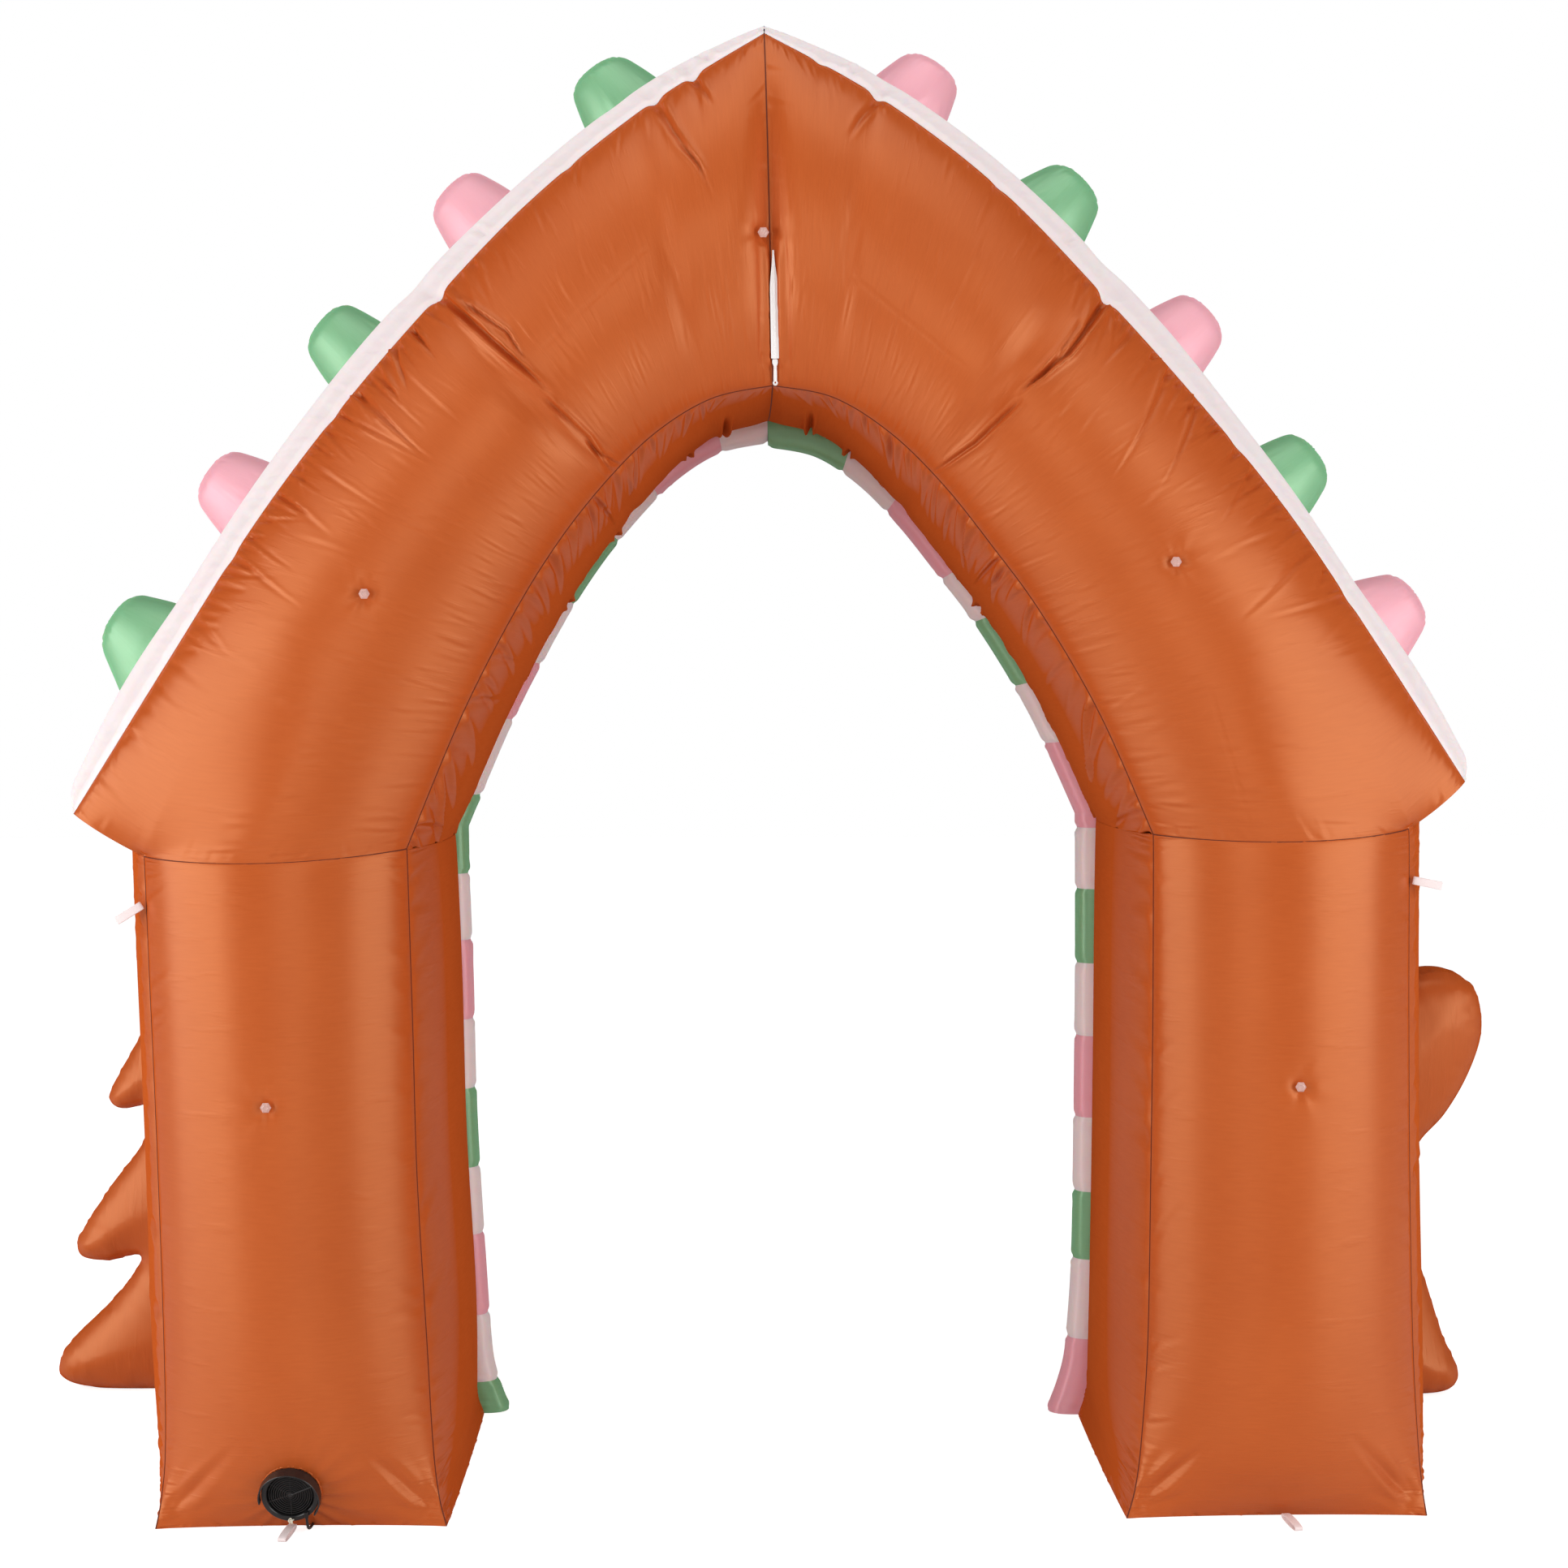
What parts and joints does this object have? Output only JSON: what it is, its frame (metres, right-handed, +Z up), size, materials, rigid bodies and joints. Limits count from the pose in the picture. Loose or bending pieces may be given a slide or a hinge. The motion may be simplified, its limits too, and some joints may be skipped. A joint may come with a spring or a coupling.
{
  "type": "inflated archway",
  "caption": "Blown-up gingerbread-house archway on two legs, with a steep roof band, gumdrops, a candy-striped opening, cookie figures and a blower in one foot.",
  "frame": {"origin": "middle of the footprint, on the ground", "axes": "+Z up, +X across the arch (right in the picture, which shows the rear), +Y through the opening from the rear to the front"},
  "size_m": [2.6927, 0.8901, 2.3919],
  "materials": {
    "brown_cloth": "satin woven polyester, seen on its coated side",
    "pale_cloth": "satin woven polyester, seen on its coated side",
    "striped_cloth": "satin woven polyester in pale, pink and green lengths",
    "green_cloth": "satin woven polyester, seen on its coated side",
    "pink_cloth": "satin woven polyester, seen on its coated side",
    "webbing": "flat woven tape",
    "string": "twisted string",
    "white_zip": "woven tape and enamelled slider",
    "clear_plastic": "clear, tinted by the cloth",
    "black_plastic": "moulded, slightly glossy"
  },
  "bodies": {
    "root": {"gable_left": "brown_cloth", "leg_left": "brown_cloth", "roof_band_left": "pale_cloth", "trim_left": "striped_cloth", "gable_right": "brown_cloth", "leg_right": "brown_cloth", "roof_band_right": "pale_cloth", "trim_right": "striped_cloth", "gumdrop_left_1": "green_cloth", "gumdrop_left_2": "pink_cloth", "gumdrop_left_3": "green_cloth", "gumdrop_left_4": "pink_cloth", "gumdrop_left_5": "green_cloth", "gumdrop_right_1": "pink_cloth", "gumdrop_right_2": "green_cloth", "gumdrop_right_3": "pink_cloth", "gumdrop_right_4": "green_cloth", "gumdrop_right_5": "pink_cloth", "tree_figure": "brown_cloth", "gingerbread_figure": "brown_cloth", "button_peak": "clear_plastic", "button_roof_left": "clear_plastic", "button_roof_right": "clear_plastic", "button_leg_left": "clear_plastic", "button_leg_right": "clear_plastic", "zip_tape": "white_zip", "zip_slider": "white_zip", "tie_loop_upper_left": "webbing", "tie_loop_upper_right": "webbing", "tie_loop_foot_left": "webbing", "tie_loop_foot_right": "webbing", "blower_housing": "black_plastic", "blower_grille": "black_plastic", "blower_hood": "black_plastic", "strain_relief": "black_plastic", "blower_cord": "black_plastic", "blower_cord_coil": "black_plastic", "blower_plug": "black_plastic", "blower_knot": "string"}
  },
  "joints": []
}
